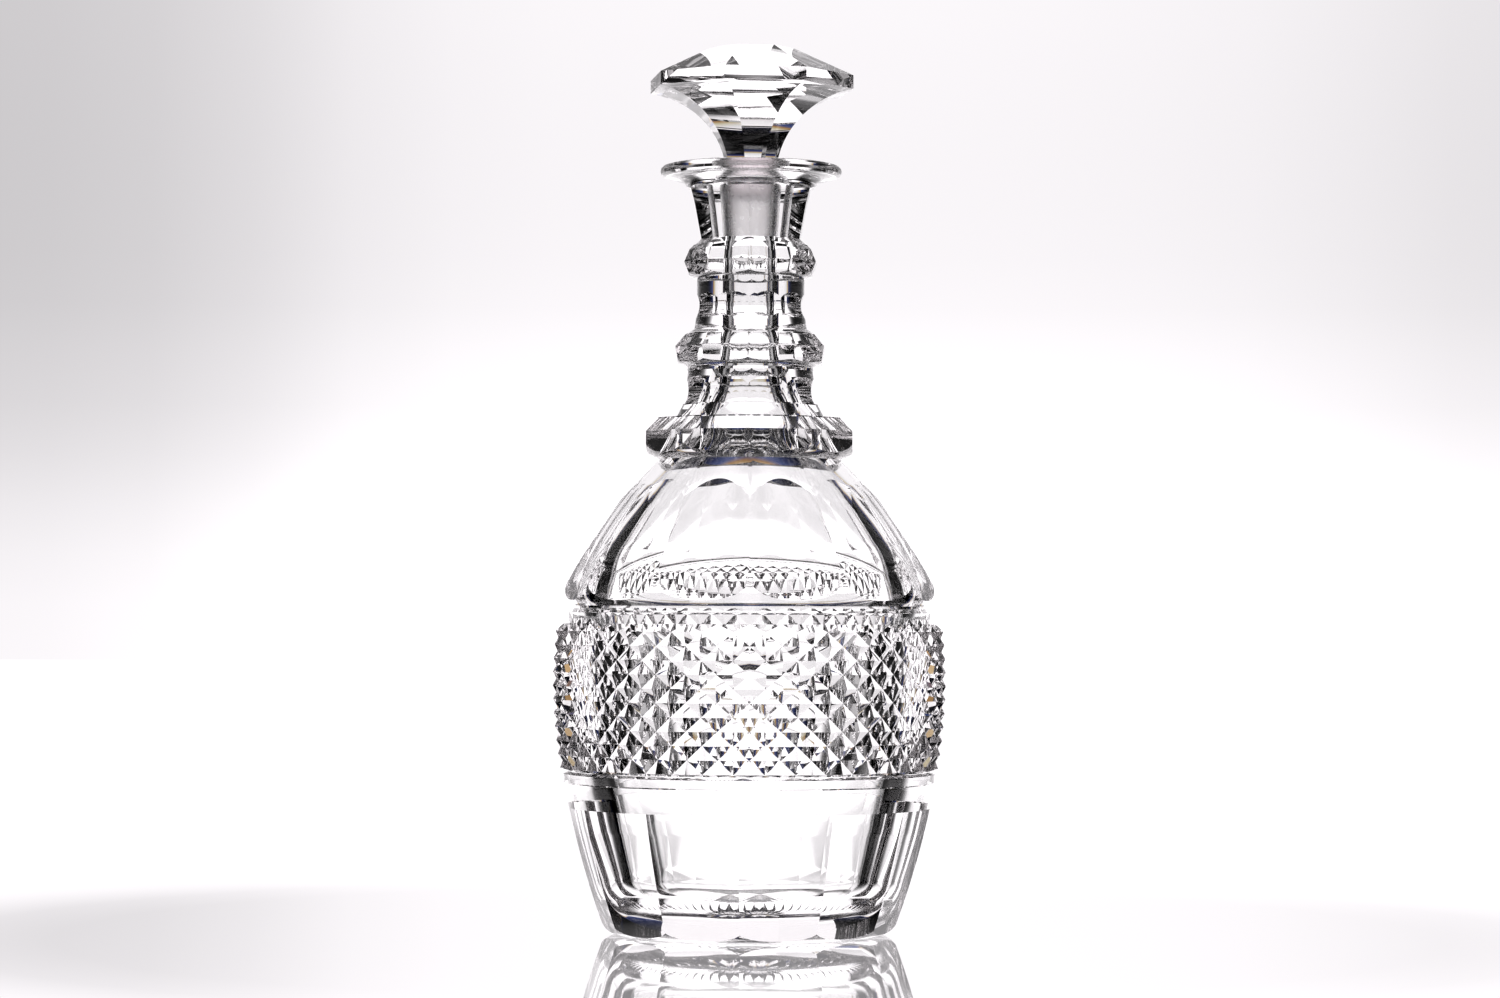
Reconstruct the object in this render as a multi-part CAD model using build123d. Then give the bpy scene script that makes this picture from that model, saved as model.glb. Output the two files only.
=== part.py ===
from build123d import *
import math
import os

os.makedirs("parts", exist_ok=True)

# Cut crystal decanter, millimetres. +Z is up and the origin is the centre of the foot's resting face.
# Azimuths are measured about +Z from -Y, the front, towards +X.

# ---- driving dimensions: body ----
FOOT_CONTACT_R = 40.0
PANEL_TOP_Z = 38.9        # ledge that ends the lower panels
RIDGE_Z = 46.8            # plain ridge under the diamonds
BAND_BOTTOM_Z = 51.0      # first row of the diamonds
BAND_TOP_Z = 93.2         # last row of the diamonds
BAND_BULGE_Z = 78.0       # the band is widest here
BAND_R = 60.7             # over the diamond points, where it is widest
BAND_TAPER = 2.4          # how much narrower the lowest points are
BAND_CORE_R = 53.0        # the ring of diamonds reaches this far into the wall
BAND_ENDS = ((56.0, 50.3), (57.4, 95.5))   # where the end facets run out below and above
SHOULDER_Z = 100.9        # groove under the shoulder
RING_3_Z = 146.0          # underside of the lowest and widest neck ring
LIP_TOP_Z = 237.3
LIP_R = 28.1
FLOOR_Z = 10.5            # inside floor
BORE_R = 6.3

# ---- driving dimensions: cuts ----
LOWER_PANELS, LOWER_AZIMUTH = 12, 11.7
SHOULDER_PANELS, SHOULDER_AZIMUTH = 12, 15.0
NECK_FACETS, NECK_AZIMUTH = 10, 16.0
DIAMONDS = 38             # around the band
HALF_ROWS = 10            # the band is five whole diamonds high
DIAMOND_DEPTH = 2.1
STAR_RAYS = 48
STAR_R = 34.0
STAR_DEEP_R, STAR_RIDGE_R = 22.0, 24.0     # deepest point of a ray, start of the ridge between two
STAR_DEPTH = 1.6

# ---- driving dimensions: stopper ----
STOPPER_FACETS, STOPPER_AZIMUTH = 8, 8.5
GIRDLE_R = 32.4           # to the corners of the octagon
GIRDLE_Z = 260.5
GIRDLE_H = 4.1
TABLE_R = 13.7
STOPPER_TOP_Z = 273.4
STEM_R = 8.3
STEM_Z = 238.0            # octagonal stem above, ground shank below
SHANK_END_Z = 214.0
SHANK_TOP_R = 7.95
SHANK_END_R = 6.75
SHANK_BEVEL = 0.6
FIT = 0.05                # radial clearance of the shank in its seat

# ---- size of the cutting tools ----
BODY_FAR, BODY_REACH = 75.0, 30.0
NECK_FAR, NECK_REACH = 40.0, 25.0
STOPPER_FAR, STOPPER_REACH = 40.0, 30.0
BELOW = 1.0               # the foot's tools start this far under the resting face


def line(a, b):
    return Line((a[0], 0, a[1]), (b[0], 0, b[1]))


def arc(a, through, b):
    return ThreePointArc((a[0], 0, a[1]), (through[0], 0, through[1]), (b[0], 0, b[1]))


def outline(start, steps):
    """Edges through (radius, height) points. A step is a point, or a pair: a point passed and an end."""
    edges, here = [], start
    for step in steps:
        if isinstance(step[0], tuple):
            edges.append(arc(here, step[0], step[1]))
            here = step[1]
        else:
            edges.append(line(here, step))
            here = step
    return edges


def section(edges):
    return Face(Wire(edges))


def lathe(face):
    return revolve(face, Axis.Z, 360)


def panel_cutters(start, steps, far, count, azimuth, reach):
    """Cutters for flat panels around Z: what lies outside the outline, drawn straight along the tangent."""
    edges = outline(start, steps)
    top = steps[-1][1] if isinstance(steps[-1][0], tuple) else steps[-1]
    edges += outline(top, [(far, top[1]), (far, start[1]), start])
    slab = extrude(section(edges), reach, both=True)
    return [Rot(0, 0, azimuth - 90 + i * 360 / count) * slab for i in range(count)]


def closed_solid(triangles):
    return Solid(Shell([Face(Wire.make_polygon(t)) for t in triangles]))


def blank():
    """The blown blank, turned about Z, with its hollow and the stopper's conical seat."""
    outer = [
        ((44.3, 1.7), (46.15, 4.3)),
        ((52.05, 22.9), (55.95, PANEL_TOP_Z)),
        (56.9, RIDGE_Z - 0.4), (57.4, RIDGE_Z), (57.4, 49.3), (55.5, 50.0), (55.5, 94.0),
        (55.9, 95.0), (55.9, 98.8), ((54.6, 99.5), (54.7, SHOULDER_Z)),
        ((56.9, 104.3), (55.8, 109.0)), ((50.0, 119.4), (39.6, 134.1)),
        (28.4, RING_3_Z), ((32.0, 148.2), (33.4, 150.7)), (33.4, 154.6), (29.4, 158.8),
        (22.9, 159.2), (21.0, 162.8), ((20.1, 167.5), (19.4, 172.6)),
        ((20.0, 174.9), (21.5, 175.5)), ((23.4, 176.6), (24.1, 179.0)), (24.1, 181.0),
        (21.2, 184.5), ((19.0, 185.5), (17.4, 186.6)), ((16.9, 190.0), (16.6, 196.0)),
        (16.6, 202.2), ((19.0, 202.8), (21.2, 205.4)), (21.4, 208.0), ((20.2, 210.9), (17.4, 212.5)),
        (16.1, 213.8), ((17.9, 224.0), (19.6, 230.2)), ((21.6, 232.6), (26.4, 233.7)),
        ((LIP_R, 235.4), (26.6, 237.1)), (24.0, LIP_TOP_Z),
    ]
    seat_mouth = seat_radius(LIP_TOP_Z)
    inner = [
        (seat_mouth + 0.6, LIP_TOP_Z), (seat_radius(LIP_TOP_Z - 0.8), LIP_TOP_Z - 0.8),
        (seat_radius(SHANK_END_Z - 1), SHANK_END_Z - 1), (BORE_R, SHANK_END_Z - 1.6), (BORE_R, 182.0),
        (8.6, 168.0), (10.6, 161.5), ((14.0, 155.0), (20.5, 147.7)), (31.5, 136.0),
        ((38.3, 127.3), (43.8, 118.3)), ((47.2, 108.0), (47.6, 98.0)), (44.4, 66.0),
        ((42.6, 48.0), (39.6, 33.0)), (35.5, 20.5), ((31.5, 13.0), (26.0, FLOOR_Z)),
        (0, FLOOR_Z), (0, 0), (FOOT_CONTACT_R, 0),
    ]
    return lathe(section(outline((FOOT_CONTACT_R, 0), outer + inner)))


def seat_radius(z):
    """Radius of the ground seat in the neck: the shank's cone plus the clearance."""
    return shank_radius(z) + FIT


def shank_radius(z):
    return SHANK_END_R + (SHANK_TOP_R - SHANK_END_R) * (z - SHANK_END_Z) / (STEM_Z - SHANK_END_Z)


def lower_panels():
    curve = [((50.1, 22.9), (53.9, PANEL_TOP_Z))]
    return panel_cutters((42.6, -BELOW / 2), curve, BODY_FAR, LOWER_PANELS, LOWER_AZIMUTH, BODY_REACH)


def shoulder_panels():
    curve = [((55.6, 105.5), (53.0, 111.0)), (49.6, 116.8), (38.4, 134.0), ((36.2, 137.2), (33.3, 141.2))]
    return panel_cutters((56.3, 101.5), curve, BODY_FAR, SHOULDER_PANELS, SHOULDER_AZIMUTH, BODY_REACH)


def neck_facets():
    """One cutter per azimuth, with the three rings' facets and the panels between the rings."""
    curve = [
        (31.7, 154.6), (28.0, 158.5), (28.0, 163.2), (19.9, 163.2), ((18.9, 168.5), (19.9, 171.8)),
        (22.2, 171.8), (22.2, 177.0), (22.9, 180.9), (20.0, 184.4), (20.0, 189.3), (17.2, 189.3),
        ((15.6, 193.3), (16.9, 197.8)), (19.0, 197.8), (19.0, 203.8), (20.3, 207.0), (18.7, 210.9),
        (17.0, 212.7), (15.1, 214.2), (17.1, 225.0), (18.3, 229.8), (23.0, 232.2),
    ]
    return panel_cutters((31.7, 147.0), curve, NECK_FAR, NECK_FACETS, NECK_AZIMUTH, NECK_REACH)


def band_radius(z):
    """Radius over the diamond points: the band swells a little above its middle."""
    return BAND_R - BAND_TAPER * ((z - BAND_BULGE_Z) / (BAND_BOTTOM_Z - BAND_BULGE_Z)) ** 2


def diamond_band():
    """The band of diamond points, as a ring of flat triangular facets with sharp tips."""
    columns = 2 * DIAMONDS
    pitch_z = (BAND_TOP_Z - BAND_BOTTOM_Z) / HALF_ROWS

    def ring(radius_of, z):
        turn = math.tau / columns
        return [(radius_of(k) * math.sin(k * turn), -radius_of(k) * math.cos(k * turn), z)
                for k in range(columns)]

    def cut_row(j):
        z = BAND_BOTTOM_Z + j * pitch_z
        return ring(lambda k: band_radius(z) - DIAMOND_DEPTH * ((k + j) % 2), z)

    (low_r, low_z), (high_r, high_z) = BAND_ENDS
    rings = [ring(lambda k: BAND_CORE_R, low_z), ring(lambda k: low_r, low_z)]
    rings += [cut_row(j) for j in range(HALF_ROWS + 1)]
    rings += [ring(lambda k: high_r, high_z), ring(lambda k: BAND_CORE_R, high_z)]
    triangles = []
    for j, low in enumerate(rings):
        high = rings[(j + 1) % len(rings)]
        for k in range(columns):
            n = (k + 1) % columns
            if (k + j) % 2 == 0:
                triangles += [(low[k], low[n], high[k]), (low[n], high[n], high[k])]
            else:
                triangles += [(low[k], low[n], high[n]), (low[k], high[n], high[k])]
    return closed_solid(triangles)


def star():
    """Cutter for the star under the foot: V grooves that meet at the centre and run out in points."""
    turn = math.tau / STAR_RAYS

    def at(radius, steps, z):
        return (radius * math.sin(steps * turn), -radius * math.cos(steps * turn), z)

    centre, centre_low = (0, 0, STAR_DEPTH / 2), (0, 0, -BELOW)
    triangles = []
    for k in range(STAR_RAYS):
        deep, tip, tip_low = at(STAR_DEEP_R, k, STAR_DEPTH), at(STAR_R, k, 0), at(STAR_R, k, -BELOW)
        for side in (-0.5, 0.5):
            ridge, ridge_low = at(STAR_RIDGE_R, k + side, 0), at(STAR_RIDGE_R, k + side, -BELOW)
            triangles += [(centre, deep, ridge), (deep, tip, ridge)]
            triangles += [(tip, tip_low, ridge), (tip_low, ridge_low, ridge), (centre_low, tip_low, ridge_low)]
    return closed_solid(triangles)


def decanter_body():
    cutters = lower_panels() + shoulder_panels() + neck_facets()
    return blank() - cutters - star() + diamond_band()


def stopper():
    """Eight-sided head with table, crown, girdle and hollowed underside, on a ground conical shank."""
    flat = math.cos(math.pi / STOPPER_FACETS)
    crown_z = GIRDLE_Z + GIRDLE_H

    def head(scale, top):
        waist = (15.9 * scale, 252.3)
        return [
            (waist, (GIRDLE_R * scale, GIRDLE_Z)), (GIRDLE_R * scale, crown_z), (TABLE_R * scale, top),
        ]

    grow = 1.01
    turned = outline((STEM_R * grow, STEM_Z), head(grow, STOPPER_TOP_Z))
    turned += outline((TABLE_R * grow, STOPPER_TOP_Z), [(0, STOPPER_TOP_Z), (0, STEM_Z), (STEM_R * grow, STEM_Z)])
    cutters = panel_cutters(
        (STEM_R * flat, STEM_Z), head(flat, STOPPER_TOP_Z), STOPPER_FAR, STOPPER_FACETS,
        STOPPER_AZIMUTH, STOPPER_REACH)
    shank = [
        (0, STEM_Z), (0, SHANK_END_Z), (SHANK_END_R - SHANK_BEVEL, SHANK_END_Z),
        (shank_radius(SHANK_END_Z + SHANK_BEVEL), SHANK_END_Z + SHANK_BEVEL), (SHANK_TOP_R, STEM_Z),
    ]
    return lathe(section(turned)) - cutters + lathe(section(outline((SHANK_TOP_R, STEM_Z), shank)))


export_step(decanter_body(), "parts/decanter_body.step")
export_step(stopper(), "parts/stopper.step")
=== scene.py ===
import math
import bpy
from mathutils import Matrix, Vector

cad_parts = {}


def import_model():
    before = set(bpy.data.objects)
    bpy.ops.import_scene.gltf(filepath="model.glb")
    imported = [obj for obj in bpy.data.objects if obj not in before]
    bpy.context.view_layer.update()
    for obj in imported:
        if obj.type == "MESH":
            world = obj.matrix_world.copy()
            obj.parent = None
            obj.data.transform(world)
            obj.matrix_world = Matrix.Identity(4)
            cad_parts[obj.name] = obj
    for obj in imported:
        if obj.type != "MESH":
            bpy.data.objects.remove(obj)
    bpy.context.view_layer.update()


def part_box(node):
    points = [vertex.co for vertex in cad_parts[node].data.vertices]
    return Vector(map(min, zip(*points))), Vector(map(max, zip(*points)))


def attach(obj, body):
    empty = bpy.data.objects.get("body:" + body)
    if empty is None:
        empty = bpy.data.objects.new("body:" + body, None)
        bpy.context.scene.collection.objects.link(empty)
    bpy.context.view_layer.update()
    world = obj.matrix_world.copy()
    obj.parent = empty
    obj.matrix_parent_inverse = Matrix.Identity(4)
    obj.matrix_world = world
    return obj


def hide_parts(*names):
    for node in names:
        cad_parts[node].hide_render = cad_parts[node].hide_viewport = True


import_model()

# The outlines below are in millimetres, in the row's frame, as (radius, height). Azimuths are degrees from
# the front, -Y, towards +X. Objects are in metres.
MM = 0.001
BODY_NODE, STOPPER_NODE = "decanter_body", "stopper"
foot_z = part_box(BODY_NODE)[0].z / MM
lip_top_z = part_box(BODY_NODE)[1].z / MM
top_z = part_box(STOPPER_NODE)[1].z / MM
shank_end_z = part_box(STOPPER_NODE)[0].z / MM
seat_low_z = shank_end_z - 1     # the seat starts a little below the shank's end

# ---- how finely round shapes are made ----
LATHE_SEGMENTS, HOLLOW_SEGMENTS, SHANK_SEGMENTS = 300, 240, 160
ARC_STEP = 0.9            # longest chord on a curved outline
SHARP = math.radians(12)  # faces of one cut that turn by more than this meet in a sharp edge

# ---- flat panels: how many, azimuth of the first, how far its tool reaches to each side ----
LOWER_PANELS = 12, 11.7, 30
SHOULDER_PANELS = 12, 15.0, 30
NECK_PANELS = 10, 16.0, 25
STOPPER_PANELS = 8, 8.5, 45
FAR = 80.0                # the tools reach this far out

# ---- inside ----
FLOOR_INSIDE_Z, BORE_R = 10.5, 6.3
SEAT_GAP = 0.05           # between the shank and its seat
GROUND_MARGIN = 0.2       # the ground part of the inside is at most this much wider than the shank's top
CHAMFER_R, CHAMFER_Z = 0.6, 0.8                         # at the seat's upper edge

# ---- band of diamond points ----
DIAMONDS, HALF_ROWS, DIAMOND_DEPTH = 38, 10, 2.1        # diamonds around, half diamonds high
BAND_LOW_Z, BAND_HIGH_Z = 51.0, 93.2
BAND_R, BAND_TAPER, BAND_BULGE_Z = 60.7, 2.4, 78.0      # widest, lost by the lowest row, where it is widest
BAND_CORE_R = 53.0        # the ring of diamonds reaches this far into the wall
BAND_ENDS = (56.0, 50.3), (57.4, 95.5)                  # where the end facets run out, below and above

# ---- star under the foot ----
STAR_RAYS, STAR_R, STAR_DEPTH = 48, 34.0, 1.6
STAR_DEEP_R, STAR_RIDGE_R = 22, 24                      # deepest point of a ray, start of the ridge beside it

# ---- stopper ----
STEM_Z, STEM_R, SHANK_TOP_R, SHANK_END_R, SHANK_BEVEL = 238.0, 8.3, 7.95, 6.75, 0.6
GIRDLE_R, GIRDLE_Z, CROWN_Z, TABLE_R = 32.4, 260.5, 264.6, 13.7
WAIST = 15.9, 252.3       # a point passed by the hollowed underside
BLANK_MARGIN = 1.02       # the turned blank is this much larger than its facets' corners


# ---------------------------------------------------------------- outlines and solids
def arc_points(a, through, b):
    """Points after a, up to b, on the circle through the three."""
    (ax, az), (bx, bz), (cx, cz) = a, through, b
    d = 2 * (ax * (bz - cz) + bx * (cz - az) + cx * (az - bz))
    a2, b2, c2 = ax * ax + az * az, bx * bx + bz * bz, cx * cx + cz * cz
    ox = (a2 * (bz - cz) + b2 * (cz - az) + c2 * (az - bz)) / d
    oz = (a2 * (cx - bx) + b2 * (ax - cx) + c2 * (bx - ax)) / d
    radius = math.hypot(ax - ox, az - oz)
    start = math.atan2(az - oz, ax - ox)
    sweep = math.atan2(cz - oz, cx - ox) - start
    middle = (math.atan2(bz - oz, bx - ox) - start) % math.tau
    sweep %= math.tau
    if middle > sweep:
        sweep -= math.tau
    count = max(4, math.ceil(abs(sweep) * radius / ARC_STEP))
    return [(ox + radius * math.cos(start + sweep * i / count),
             oz + radius * math.sin(start + sweep * i / count)) for i in range(1, count + 1)]


def outline(start, steps):
    """Points of an outline. A step is a point, or a pair for an arc: a point passed and the arc's end."""
    points = [start]
    for step in steps:
        if isinstance(step[0], tuple):
            points += arc_points(points[-1], *step)
        else:
            points.append(step)
    return points


# Each face carries the tag of the cut that made it, as its material, through the boolean steps.
TAGS = {tag: bpy.data.materials.new(tag)
        for tag in ("blank", "lower", "shoulder", "neck", "band", "star", "inside", "head", "shank")}


def mesh_object(name, verts, faces):
    mesh = bpy.data.meshes.new(name)
    mesh.from_pydata(verts, [], faces)
    piece = bpy.data.objects.new(name, mesh)
    bpy.context.scene.collection.objects.link(piece)
    return piece


def solid(name, verts, faces, tag):
    """A closed mesh from millimetre points, with every face tagged."""
    piece = mesh_object(name, [Vector(v) * MM for v in verts], faces)
    for material in TAGS.values():
        piece.data.materials.append(material)
    index = list(TAGS).index(tag)
    piece.data.polygons.foreach_set("material_index", [index] * len(piece.data.polygons))
    return piece


def lathe(name, points, tag, segments=LATHE_SEGMENTS):
    """A closed outline turned about Z. Its first and last points lie on the axis."""
    verts, rings = [], []
    for r, z in points:
        count = 1 if r < 1e-6 else segments
        rings.append([len(verts) + k for k in range(count)])
        verts += [(r * math.sin(math.tau * k / segments), -r * math.cos(math.tau * k / segments), z)
                  for k in range(count)]
    faces = []
    for low, high in zip(rings, rings[1:]):
        for k in range(segments):
            n = (k + 1) % segments
            corners = [low[k % len(low)], low[n % len(low)], high[n % len(high)], high[k % len(high)]]
            faces.append(list(dict.fromkeys(corners)))
    return solid(name, verts, faces, tag)


def panel_cutters(tag, points, count, azimuth, reach):
    """Tools for flat panels: what lies outside the outline, drawn straight along the tangent."""
    loop = points + [(FAR, points[-1][1]), (FAR, points[0][1])]
    n = len(loop)
    tools = []
    for i in range(count):
        a = math.radians(azimuth + 360 * i / count)
        out, along = Vector((math.sin(a), -math.cos(a), 0)), Vector((math.cos(a), math.sin(a), 0))
        verts = [out * r + along * side * reach + Vector((0, 0, z)) for side in (-1, 1) for r, z in loop]
        faces = [list(range(n - 1, -1, -1)), list(range(n, 2 * n))]
        faces += [[k, (k + 1) % n, (k + 1) % n + n, k + n] for k in range(n)]
        tools.append(solid(f"{tag}_{i}", verts, faces, tag))
    return tools


def combine(piece, tools, operation):
    """Cuts the tools from piece, or joins them to it, and removes them."""
    for tool in tools:
        step = piece.modifiers.new("cut", "BOOLEAN")
        step.solver, step.operation, step.object = "MANIFOLD", operation, tool
    evaluated = piece.evaluated_get(bpy.context.evaluated_depsgraph_get())
    done = bpy.data.meshes.new_from_object(evaluated)
    piece.modifiers.clear()
    piece.data = done
    for tool in tools:
        bpy.data.objects.remove(tool)
    return piece


# ---------------------------------------------------------------- decanter body
def body_blank():
    """The turned shape before its panels, diamonds, star and inside are cut."""
    points = outline((0, foot_z), [
        (40.0, foot_z), ((44.3, 1.7), (46.15, 4.3)),                                # foot
        ((52.05, 22.9), (55.95, 38.9)), (56.9, 46.4),                               # lower body
        (57.4, 46.8), (57.4, 49.3), (55.5, 50.0),                                   # low plain band
        (55.5, 94.0), (55.9, 95.0), (55.9, 98.8), ((54.6, 99.5), (54.7, 100.9)),    # high plain band
        ((56.9, 104.3), (55.8, 109.0)), ((50.0, 119.4), (39.6, 134.1)), (28.4, 146.0),      # shoulder
        ((32.0, 148.2), (33.4, 150.7)), (33.4, 154.6), (29.4, 158.8), (22.9, 159.2),        # lowest ring
        (21.0, 162.8), ((20.1, 167.5), (19.4, 172.6)),
        ((20.0, 174.9), (21.5, 175.5)), ((23.4, 176.6), (24.1, 179.0)), (24.1, 181.0),      # middle ring
        (21.2, 184.5), ((19.0, 185.5), (17.4, 186.6)), ((16.9, 190.0), (16.6, 196.0)), (16.6, 202.2),
        ((19.0, 202.8), (21.2, 205.4)), (21.4, 208.0), ((20.2, 210.9), (17.4, 212.5)),      # top ring
        (16.1, 213.8), ((17.9, 224.0), (19.6, 230.2)), ((21.6, 232.6), (26.4, 233.7)),      # flare
        ((28.1, 235.4), (26.6, 237.1)), (24.0, lip_top_z), (0, lip_top_z),                  # lip
    ])
    return lathe("decanter_crystal", points, "blank")


def shank_radius(z):
    """Radius of the stopper's conical shank."""
    return SHANK_END_R + (SHANK_TOP_R - SHANK_END_R) * (z - shank_end_z) / (STEM_Z - shank_end_z)


def seat_radius(z):
    """Radius of the conical seat in the neck."""
    return shank_radius(z) + SEAT_GAP


def hollow():
    """Tool for the inside, from its floor up through the bore and the seat, and out above the lip."""
    bore_top_z, seat_high_z, above_z = shank_end_z - 1.6, lip_top_z - CHAMFER_Z, lip_top_z + 5
    points = outline((0, FLOOR_INSIDE_Z), [
        (26.0, FLOOR_INSIDE_Z), ((31.5, 13.0), (35.5, 20.5)), (39.6, 33.0), ((42.6, 48.0), (44.4, 66.0)),
        (47.6, 98.0), ((47.2, 108.0), (43.8, 118.3)), ((38.3, 127.3), (31.5, 136.0)), (20.5, 147.7),
        ((14.0, 155.0), (10.6, 161.5)), (8.6, 168.0), (BORE_R, 182.0), (BORE_R, bore_top_z),
        (seat_radius(seat_low_z), seat_low_z), (seat_radius(seat_high_z), seat_high_z),
        (seat_radius(lip_top_z) + CHAMFER_R, lip_top_z), (shank_radius(lip_top_z) + 5, above_z), (0, above_z),
    ])
    return lathe("hollow", points, "inside", HOLLOW_SEGMENTS)


def body_cutters():
    """Tools for the lower and shoulder panels, and for the flat sides of the neck, its rings and flare."""
    lower = outline((42.6, -0.5), [((50.1, 22.9), (53.9, 38.9))])
    shoulder = outline((56.3, 101.5), [
        ((55.6, 105.5), (53.0, 111.0)), (49.6, 116.8), (38.4, 134.0), ((36.2, 137.2), (33.3, 141.2)),
    ])
    neck = outline((31.7, 147.0), [
        (31.7, 154.6), (28.0, 158.5), (28.0, 163.2), (19.9, 163.2), ((18.9, 168.5), (19.9, 171.8)),
        (22.2, 171.8), (22.2, 177.0), (22.9, 180.9), (20.0, 184.4), (20.0, 189.3), (17.2, 189.3),
        ((15.6, 193.3), (16.9, 197.8)), (19.0, 197.8), (19.0, 203.8), (20.3, 207.0), (18.7, 210.9),
        (17.0, 212.7), (15.1, 214.2), (17.1, 225.0), (18.3, 229.8), (23.0, 232.2),
    ])
    tools = panel_cutters("lower", lower, *LOWER_PANELS)
    tools += panel_cutters("shoulder", shoulder, *SHOULDER_PANELS)
    return tools + panel_cutters("neck", neck, *NECK_PANELS)


def band_radius(z):
    """Radius over the diamond points: the band swells a little above its middle."""
    return BAND_R - BAND_TAPER * ((z - BAND_BULGE_Z) / (BAND_LOW_Z - BAND_BULGE_Z)) ** 2


def ring(columns, radius_of, z):
    """Points around the axis at one height, with a radius for each column."""
    turn = math.tau / columns
    return [(radius_of(k) * math.sin(k * turn), -radius_of(k) * math.cos(k * turn), z)
            for k in range(columns)]


def diamond_band():
    """The diamond points: flat triangles from each tip down to the grooves that cross around it."""
    columns, pitch_z = 2 * DIAMONDS, (BAND_HIGH_Z - BAND_LOW_Z) / HALF_ROWS
    (low_r, low_z), (high_r, high_z) = BAND_ENDS
    rings = [ring(columns, lambda k: BAND_CORE_R, low_z), ring(columns, lambda k: low_r, low_z)]
    for j in range(HALF_ROWS + 1):
        z = BAND_LOW_Z + j * pitch_z
        rings.append(ring(columns, lambda k: band_radius(z) - DIAMOND_DEPTH * ((k + j) % 2), z))
    rings += [ring(columns, lambda k: high_r, high_z), ring(columns, lambda k: BAND_CORE_R, high_z)]
    verts, faces = [v for r in rings for v in r], []
    for j in range(len(rings)):
        low, high = j * columns, (j + 1) % len(rings) * columns
        for k in range(columns):
            n = (k + 1) % columns
            if (k + j) % 2 == 0:
                faces += [(low + k, low + n, high + k), (low + n, high + n, high + k)]
            else:
                faces += [(low + k, low + n, high + n), (low + k, high + n, high + k)]
    return solid("band", verts, faces, "band")


def star():
    """Tool for the star under the foot: V grooves that meet at the centre and run out in points."""
    turn, below = math.tau / STAR_RAYS, foot_z - 1
    verts, faces = [(0, 0, foot_z + STAR_DEPTH / 2), (0, 0, below)], []

    def spoke(radius, steps, z):
        verts.append((radius * math.sin(steps * turn), -radius * math.cos(steps * turn), z))
        return len(verts) - 1

    deep = [spoke(STAR_DEEP_R, k, foot_z + STAR_DEPTH) for k in range(STAR_RAYS)]
    tips = [spoke(STAR_R, k, foot_z) for k in range(STAR_RAYS)]
    tips_low = [spoke(STAR_R, k, below) for k in range(STAR_RAYS)]
    ridges = [spoke(STAR_RIDGE_R, k + 0.5, foot_z) for k in range(STAR_RAYS)]
    ridges_low = [spoke(STAR_RIDGE_R, k + 0.5, below) for k in range(STAR_RAYS)]
    for k in range(STAR_RAYS):
        n = (k + 1) % STAR_RAYS
        faces += [(0, deep[k], ridges[k]), (0, ridges[k], deep[n])]
        faces += [(deep[k], tips[k], ridges[k]), (ridges[k], tips[n], deep[n])]
        faces += [(tips[k], tips_low[k], ridges_low[k], ridges[k])]
        faces += [(ridges[k], ridges_low[k], tips_low[n], tips[n])]
        faces += [(1, ridges_low[k], tips_low[k]), (1, tips_low[n], ridges_low[k])]
    return solid("star", verts, faces, "star")


# ---------------------------------------------------------------- stopper
def stopper_head():
    """Stem, hollowed underside, girdle and crown, turned a little large and cut to flat sides."""
    flat = math.cos(math.pi / STOPPER_PANELS[0])

    def profile(scale, rise):
        """Outline up to the table, with the crown's slope carried on by rise above it."""
        waist_r, waist_z = WAIST
        steps = [((waist_r * scale, waist_z), (GIRDLE_R * scale, GIRDLE_Z)), (GIRDLE_R * scale, CROWN_Z)]
        slope = (TABLE_R - GIRDLE_R) / (top_z - CROWN_Z) * scale
        return outline((STEM_R * scale, STEM_Z), steps + [(TABLE_R * scale + slope * rise, top_z + rise)])

    blank = lathe("stopper_crystal", [(0, STEM_Z)] + profile(BLANK_MARGIN, 0) + [(0, top_z)], "head")
    return combine(blank, panel_cutters("head", profile(flat, 1.0), *STOPPER_PANELS), "DIFFERENCE")


def stopper_shank():
    """Ground cone under the stem. It runs a little way up inside the stem, which joins the two."""
    bevel_z, inside_stem = shank_end_z + SHANK_BEVEL, 0.4
    points = [
        (0, shank_end_z), (SHANK_END_R - SHANK_BEVEL, shank_end_z), (shank_radius(bevel_z), bevel_z),
        (SHANK_TOP_R, STEM_Z), (SHANK_TOP_R - inside_stem, STEM_Z + inside_stem), (0, STEM_Z + inside_stem),
    ]
    return lathe("shank", points, "shank", SHANK_SEGMENTS)


# ---------------------------------------------------------------- finish of the meshes
def is_ground(tag, face):
    """The shank, and the seat in the neck that it is ground to fit."""
    x, y, z = face.center / MM
    in_seat = z > seat_low_z and math.hypot(x, y) < SHANK_TOP_R + GROUND_MARGIN
    return tag == "shank" or (tag == "inside" and in_seat)


def finish_mesh(piece, materials):
    """Smooth along each cut and sharp between cuts. The tags give way to the materials, clear and ground."""
    mesh = piece.data
    mesh.update()
    tags = [mesh.materials[p.material_index].name for p in mesh.polygons]
    normals = [p.normal.copy() for p in mesh.polygons]
    sides = {}
    for p in mesh.polygons:
        for key in p.edge_keys:
            sides.setdefault(key, []).append(p.index)
    for edge in mesh.edges:
        near = sides.get(edge.key, [])
        one_cut = len(near) == 2 and tags[near[0]] == tags[near[1]]
        edge.use_edge_sharp = not one_cut or normals[near[0]].dot(normals[near[1]]) < math.cos(SHARP)
    ground = [int(is_ground(tags[p.index], p)) for p in mesh.polygons]
    mesh.materials.clear()
    for material in materials:
        mesh.materials.append(material)
    mesh.polygons.foreach_set("material_index", ground)
    mesh.polygons.foreach_set("use_smooth", [True] * len(mesh.polygons))
    mesh.update()


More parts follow.
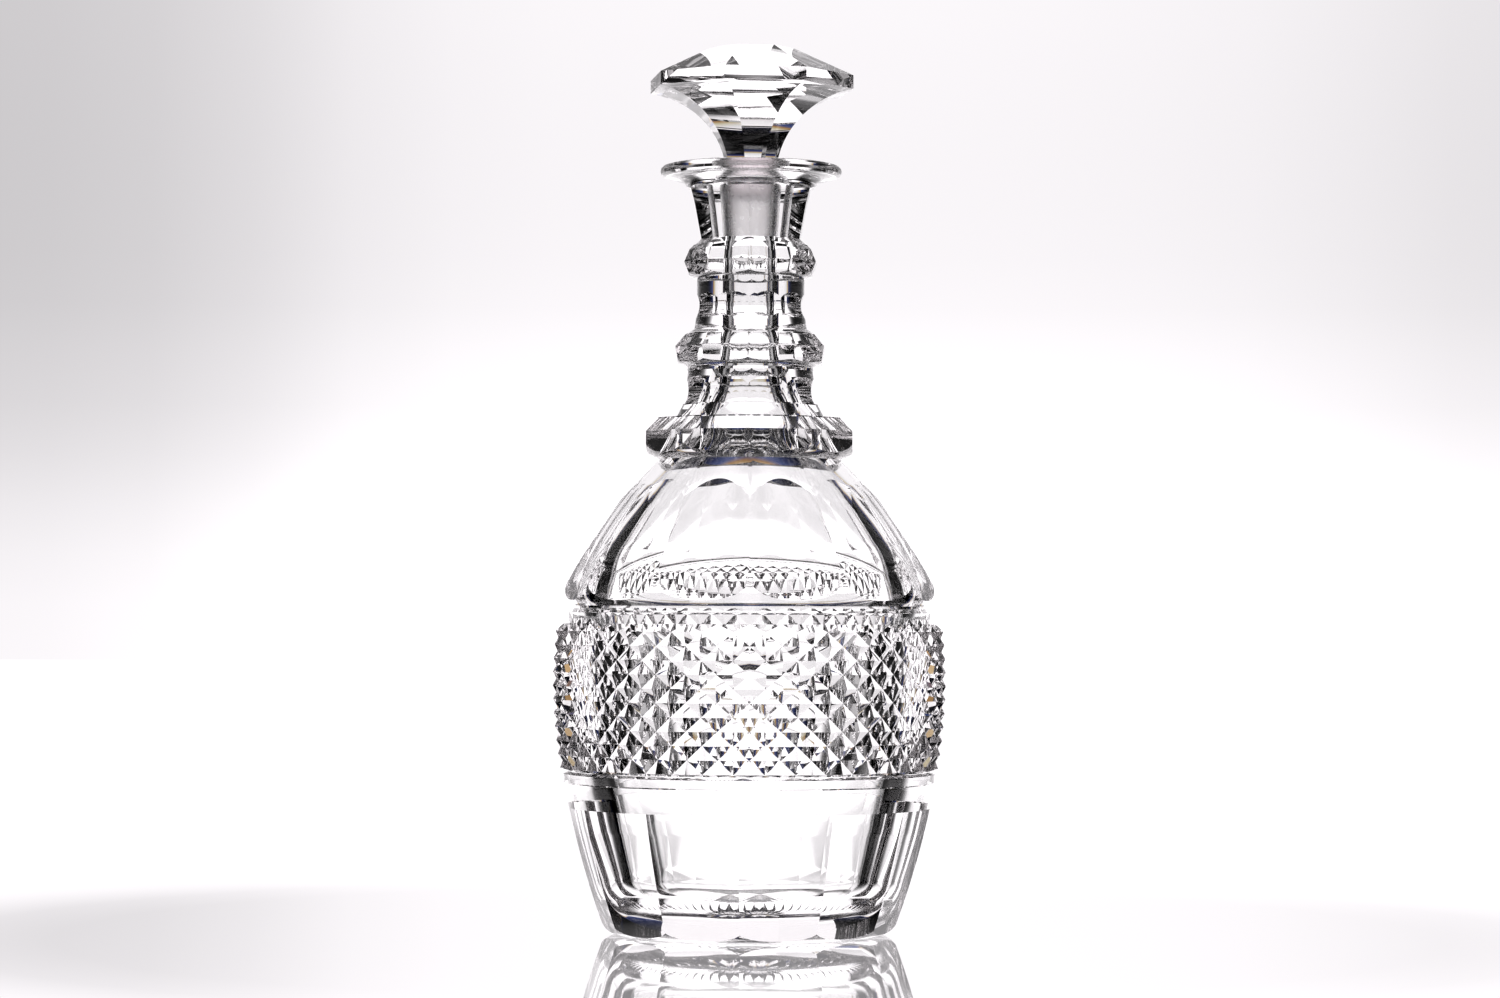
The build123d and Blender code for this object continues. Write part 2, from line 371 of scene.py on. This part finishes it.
# ---------------------------------------------------------------- shader nodes
def add_node(nt, kind, settings=None, **inputs):
    """A node with its inputs set or linked. Inputs go by name, or as i0, i1... by number."""
    node = nt.nodes.new(kind)
    for key, value in (settings or {}).items():
        setattr(node, key, value)
    for key, value in inputs.items():
        slot = node.inputs[int(key[1:])] if key[1:].isdigit() else node.inputs[key]
        if isinstance(value, bpy.types.NodeSocket):
            nt.links.new(value, slot)
        else:
            slot.default_value = value
    return node


def calc(nt, operation, a, b=0.0):
    return add_node(nt, "ShaderNodeMath", {"operation": operation}, i0=a, i1=b).outputs[0]


def blend(nt, share, a, b):
    """From number a to number b by share."""
    return add_node(nt, "ShaderNodeMix", i0=share, i2=a, i3=b).outputs[0]


def blend_colours(nt, share, a, b):
    """From colour a to colour b by share."""
    return add_node(nt, "ShaderNodeMix", {"data_type": "RGBA"}, i0=share, i6=a, i7=b).outputs[2]


def fade(nt, value, points):
    """Brightness over value, along a smooth curve through (value, brightness) points."""
    low, high = points[0][0], points[-1][0]
    top = max(v for _, v in points)
    share = add_node(nt, "ShaderNodeMapRange", Value=value, i1=low, i2=high).outputs[0]
    node = add_node(nt, "ShaderNodeFloatCurve", Value=share)
    curve = node.mapping.curves[0]
    while len(curve.points) < len(points):
        curve.points.new(0.5, 0.5)
    for point, (x, v) in zip(curve.points, points):
        point.location = ((x - low) / (high - low), v / top)
        point.handle_type = "AUTO_CLAMPED"
    node.mapping.update()
    return calc(nt, "MULTIPLY", node.outputs[0], top)


# ---------------------------------------------------------------- materials
CRYSTAL_IOR = 1.55
DEPTH_COLOUR, DEPTH_DENSITY = (0.90, 0.86, 0.875, 1), 3.0    # the crystal's faint warm grey, per metre


def crystal_base(name):
    """Clear lead crystal: refraction, and the faint warm grey that thick glass takes on."""
    mat = bpy.data.materials.new(name)
    mat.use_nodes = True
    nt = mat.node_tree
    shader = nt.nodes["Principled BSDF"]
    shader.inputs["Base Color"].default_value = (1, 1, 1, 1)
    shader.inputs["IOR"].default_value = CRYSTAL_IOR
    shader.inputs["Transmission Weight"].default_value = 1.0
    depth = add_node(nt, "ShaderNodeVolumeAbsorption", Color=DEPTH_COLOUR, Density=DEPTH_DENSITY)
    nt.links.new(depth.outputs[0], nt.nodes["Material Output"].inputs["Volume"])
    return mat, nt, shader


def surface_noise(nt, scale, detail):
    """Noise over the piece, in waves of about 1/scale metre."""
    place = add_node(nt, "ShaderNodeTexCoord").outputs["Object"]
    noise = add_node(nt, "ShaderNodeTexNoise", Vector=place, Scale=scale, Detail=detail)
    return noise.outputs[0]


def add_relief(nt, shader, noise, strength, depth):
    """Bumps too shallow to model, depth metres high where the noise goes from 0 to 1."""
    bump = add_node(nt, "ShaderNodeBump", Strength=strength, Distance=depth, Height=noise)
    nt.links.new(bump.outputs[0], shader.inputs["Normal"])


def add_roughness(nt, shader, noise, span, roughness):
    """Roughness goes between its two values as the noise crosses the span."""
    low, high = span
    smooth, rough = roughness
    spread = add_node(nt, "ShaderNodeMapRange", Value=noise, i1=low, i2=high, i3=smooth, i4=rough)
    nt.links.new(spread.outputs[0], shader.inputs["Roughness"])


def crystal():
    """Cut and polished: mirror-smooth facets that keep a trace of the polishing wheel's waviness."""
    mat, nt, shader = crystal_base("lead_crystal")
    add_relief(nt, shader, surface_noise(nt, 110.0, 1.0), strength=0.25, depth=0.00004)
    add_roughness(nt, shader, surface_noise(nt, 60.0, 3.0), (0.45, 0.75), (0.0, 0.02))
    return mat


def ground_glass():
    """The seat and the shank, ground with grit and left frosted."""
    mat, nt, shader = crystal_base("ground_crystal")
    add_relief(nt, shader, surface_noise(nt, 2500.0, 2.0), strength=0.5, depth=0.0001)
    add_roughness(nt, shader, surface_noise(nt, 400.0, 4.0), (0.3, 0.7), (0.2, 0.42))
    return mat


# ---------------------------------------------------------------- build
body = combine(body_blank(), body_cutters() + [star()], "DIFFERENCE")
body = combine(body, [diamond_band()], "UNION")
body = combine(body, [hollow()], "DIFFERENCE")
stopper = combine(stopper_head(), [stopper_shank()], "UNION")
glass = [crystal(), ground_glass()]
for piece, node, rides, slot in ((body, BODY_NODE, "decanter", "crystal"),
                                 (stopper, STOPPER_NODE, "stopper", "stopper_crystal")):
    finish_mesh(piece, glass)
    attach(piece, rides)
    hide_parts(node)


# ---------------------------------------------------------------- stage
# Light as (angle, brightness) points along smooth curves: SIDE by azimuth, in degrees from +Y towards +X, and
# HEIGHT by degrees above the horizon. SEEN is the backdrop as the camera sees it, MIRRORED dims its sides in
# outer reflections, and WINDOW is what shows through the glass: the lit backdrop behind the object, a dark
# room, and a weaker window on each of the other sides.
SIDE_SEEN = [(-180, 0.75), (-90, 0.75), (-40, 0.70), (-20, 0.66), (-10.5, 0.70), (-4, 0.97), (0, 1.0),
             (4, 0.99), (10.5, 0.86), (20, 0.76), (40, 0.72), (90, 0.75), (180, 0.75)]
HEIGHT_SEEN = [(-90, 1.3), (-1, 1.3), (1, 1.2), (3.5, 0.97), (6, 0.90), (10, 0.92), (40, 0.8), (90, 0.7)]
SIDE_MIRRORED = [(-180, 0.4), (-50, 0.4), (-30, 1.0), (30, 1.0), (50, 0.4), (180, 0.4)]
SIDE_WINDOW = [(-180, 0.35), (-160, 0.25), (-145, 0.0), (-108, 0.0), (-98, 0.4), (-82, 0.4), (-72, 0.0),
               (-42, 0.0), (-35, 0.2), (-27, 1.0), (0, 1.0), (25, 1.0), (33, 0.6), (40, 0.05), (46, 0.0),
               (72, 0.0), (82, 0.4), (98, 0.4), (108, 0.0), (145, 0.0), (160, 0.25), (180, 0.35)]
HEIGHT_WINDOW = [(-90, 1.4), (-0.5, 1.4), (1.5, 1.25), (3.2, 1.0), (5, 0.96), (10, 0.98), (22, 0.98),
                 (28, 0.85), (34, 0.2), (40, 0.02), (90, 0.0)]
EDGE_SIDE = 60.0          # the backdrop's edges lie inside this azimuth
BACKDROP = 1, 0.975, 0.995, 1
EDGE_COLOURS = [(0.0, (0.20, 0.28, 1, 1)), (0.25, (0.30, 0.42, 1, 1)), (0.40, (1, 0.60, 0.25, 1)),
                (0.60, (1, 0.90, 0.66, 1)), (0.80, BACKDROP)]


def edge_colour(nt, share, turn):
    """Blue and amber gels along the backdrop's soft edges, which give the cut glass its coloured glints."""
    ramp = add_node(nt, "ShaderNodeValToRGB", i0=share)
    stops = ramp.color_ramp.elements
    while len(stops) < len(EDGE_COLOURS):
        stops.new(0.5)
    for stop, (place, colour) in zip(stops, EDGE_COLOURS):
        stop.position, stop.color = place, colour
    front = calc(nt, "LESS_THAN", calc(nt, "ABSOLUTE", turn), EDGE_SIDE)
    return blend_colours(nt, front, BACKDROP, ramp.outputs[0])


def world():
    """Backdrop for the camera, dimmed at its sides for outer reflections, and windows for all other light."""
    studio = bpy.data.worlds.new("studio")
    studio.use_nodes = True
    bpy.context.scene.world = studio
    nt = studio.node_tree
    way = add_node(nt, "ShaderNodeTexCoord").outputs["Generated"]
    x, y, z = add_node(nt, "ShaderNodeSeparateXYZ", Vector=way).outputs
    turn = calc(nt, "DEGREES", calc(nt, "ARCTAN2", x, y))
    rise = calc(nt, "DEGREES", calc(nt, "ARCSINE", z))
    path = add_node(nt, "ShaderNodeLightPath")
    seen = calc(nt, "MULTIPLY", fade(nt, turn, SIDE_SEEN), fade(nt, rise, HEIGHT_SEEN))
    mirrored = calc(nt, "MULTIPLY", seen, fade(nt, turn, SIDE_MIRRORED))
    side, height = fade(nt, turn, SIDE_WINDOW), fade(nt, rise, HEIGHT_WINDOW)
    window = calc(nt, "MULTIPLY", side, height)
    outside = calc(nt, "SUBTRACT", path.outputs["Is Glossy Ray"], path.outputs["Is Transmission Ray"])
    light = blend(nt, path.outputs["Is Camera Ray"], blend(nt, outside, window, mirrored), seen)
    gel = edge_colour(nt, calc(nt, "MULTIPLY", side, calc(nt, "MINIMUM", height, 1.0)), turn)
    colour = blend_colours(nt, path.outputs["Is Transmission Ray"], BACKDROP, gel)
    back = nt.nodes["Background"]
    nt.links.new(light, back.inputs["Strength"])
    nt.links.new(colour, back.inputs["Color"])


FLOOR_SIZE, FLOOR_GAP = 6.0, 0.0001
FLOOR_FAR, FLOOR_NEAR = 0.99, 1.2    # the pale floor as seen, at a distance and where it also mirrors
PAINTED_POOL_LEVEL = 1.4           # painted pool of light on the floor: the floor's glow where it reaches the glass
PAINTED_POOL_FROM_Y = -0.09        # the painted pool of light spreads over the floor from here, in front of the foot
MIRROR_FADE = [(0, 1.0), (0.2, 1.0), (0.36, 0.0), (9, 0.0)]     # (metres from the axis, strength)
SHEEN_GAIN, SHEEN_ROUGHNESS, SHEEN_IOR = 1.3, 0.02, 1.5


def floor():
    """Pale floor that glows by itself, and mirrors the object where it stands. For light that reaches the
    glass, its glow and gloss colour are a painted pool of light, bright behind the object and dark at its
    sides.
    """
    corners = [(x * FLOOR_SIZE, y * FLOOR_SIZE, 0) for x, y in ((-1, -1), (1, -1), (1, 1), (-1, 1))]
    piece = mesh_object("floor", corners, [(0, 1, 2, 3)])
    piece.location.z = foot_z * MM - FLOOR_GAP
    mat = bpy.data.materials.new("floor")
    mat.use_nodes = True
    nt = mat.node_tree
    nt.nodes.remove(nt.nodes["Principled BSDF"])
    place = add_node(nt, "ShaderNodeTexCoord").outputs["Object"]
    x, y, _ = add_node(nt, "ShaderNodeSeparateXYZ", Vector=place).outputs
    # Painted pool of light: for all but camera rays, the floor's glow and gloss colour follow the backdrop
    # window by azimuth, bright behind the object and dark at its sides.
    turn = calc(nt, "DEGREES", calc(nt, "ARCTAN2", x, calc(nt, "SUBTRACT", y, PAINTED_POOL_FROM_Y)))
    camera_ray = add_node(nt, "ShaderNodeLightPath").outputs["Is Camera Ray"]
    share = blend(nt, camera_ray, fade(nt, turn, SIDE_WINDOW), 1.0)
    squares = calc(nt, "ADD", calc(nt, "MULTIPLY", x, x), calc(nt, "MULTIPLY", y, y))
    mirror = fade(nt, calc(nt, "SQRT", squares), MIRROR_FADE)
    level = blend(nt, camera_ray, PAINTED_POOL_LEVEL, blend(nt, mirror, FLOOR_FAR, FLOOR_NEAR))
    gloss = add_node(nt, "ShaderNodeBsdfAnisotropic", Roughness=SHEEN_ROUGHNESS, Color=share)
    # Painted glow: the floor emits its own light, even and pale for the camera, a painted pool of light for
    # the glass.
    painted_glow = add_node(nt, "ShaderNodeEmission", Color=BACKDROP, Strength=calc(nt, "MULTIPLY", share, level))
    sheen = calc(nt, "MULTIPLY", add_node(nt, "ShaderNodeFresnel", IOR=SHEEN_IOR).outputs[0], SHEEN_GAIN)
    sheen = calc(nt, "MULTIPLY", sheen, mirror)
    mix = add_node(nt, "ShaderNodeMixShader", i0=sheen, i1=painted_glow.outputs[0], i2=gloss.outputs[0])
    nt.links.new(mix.outputs[0], nt.nodes["Material Output"].inputs["Surface"])
    piece.data.materials.append(mat)


CAMERA_DISTANCE, EYE_Z, AIM_Z = 1.25, 0.101, 0.134
FOCAL, SENSOR = 97.0, 36.0
ROLL = math.radians(0.2)


def camera():
    """The photograph's view: from low down, looking slightly up."""
    data = bpy.data.cameras.new("camera")
    data.lens, data.sensor_width, data.sensor_fit = FOCAL, SENSOR, "HORIZONTAL"
    cam = bpy.data.objects.new("camera", data)
    bpy.context.scene.collection.objects.link(cam)
    eye = Vector((0, -CAMERA_DISTANCE, EYE_Z))
    look = Vector((0, 0, AIM_Z)) - eye
    turn = look.to_track_quat("-Z", "Y").to_matrix().to_4x4()
    cam.matrix_world = Matrix.Translation(eye) @ turn @ Matrix.Rotation(ROLL, 4, "Z")
    bpy.context.scene.camera = cam


def view_and_paths():
    """Contrast of the picture, and paths long enough for light that bounces about in cut glass."""
    scene = bpy.context.scene
    view, cycles = scene.view_settings, scene.cycles
    view.view_transform, view.exposure, view.gamma = "Standard", 0.1, 0.8
    cycles.max_bounces, cycles.transmission_bounces, cycles.glossy_bounces = 24, 24, 16
    cycles.caustics_reflective, cycles.caustics_refractive, cycles.blur_glossy = True, True, 0.0


floor()
world()
camera()
view_and_paths()
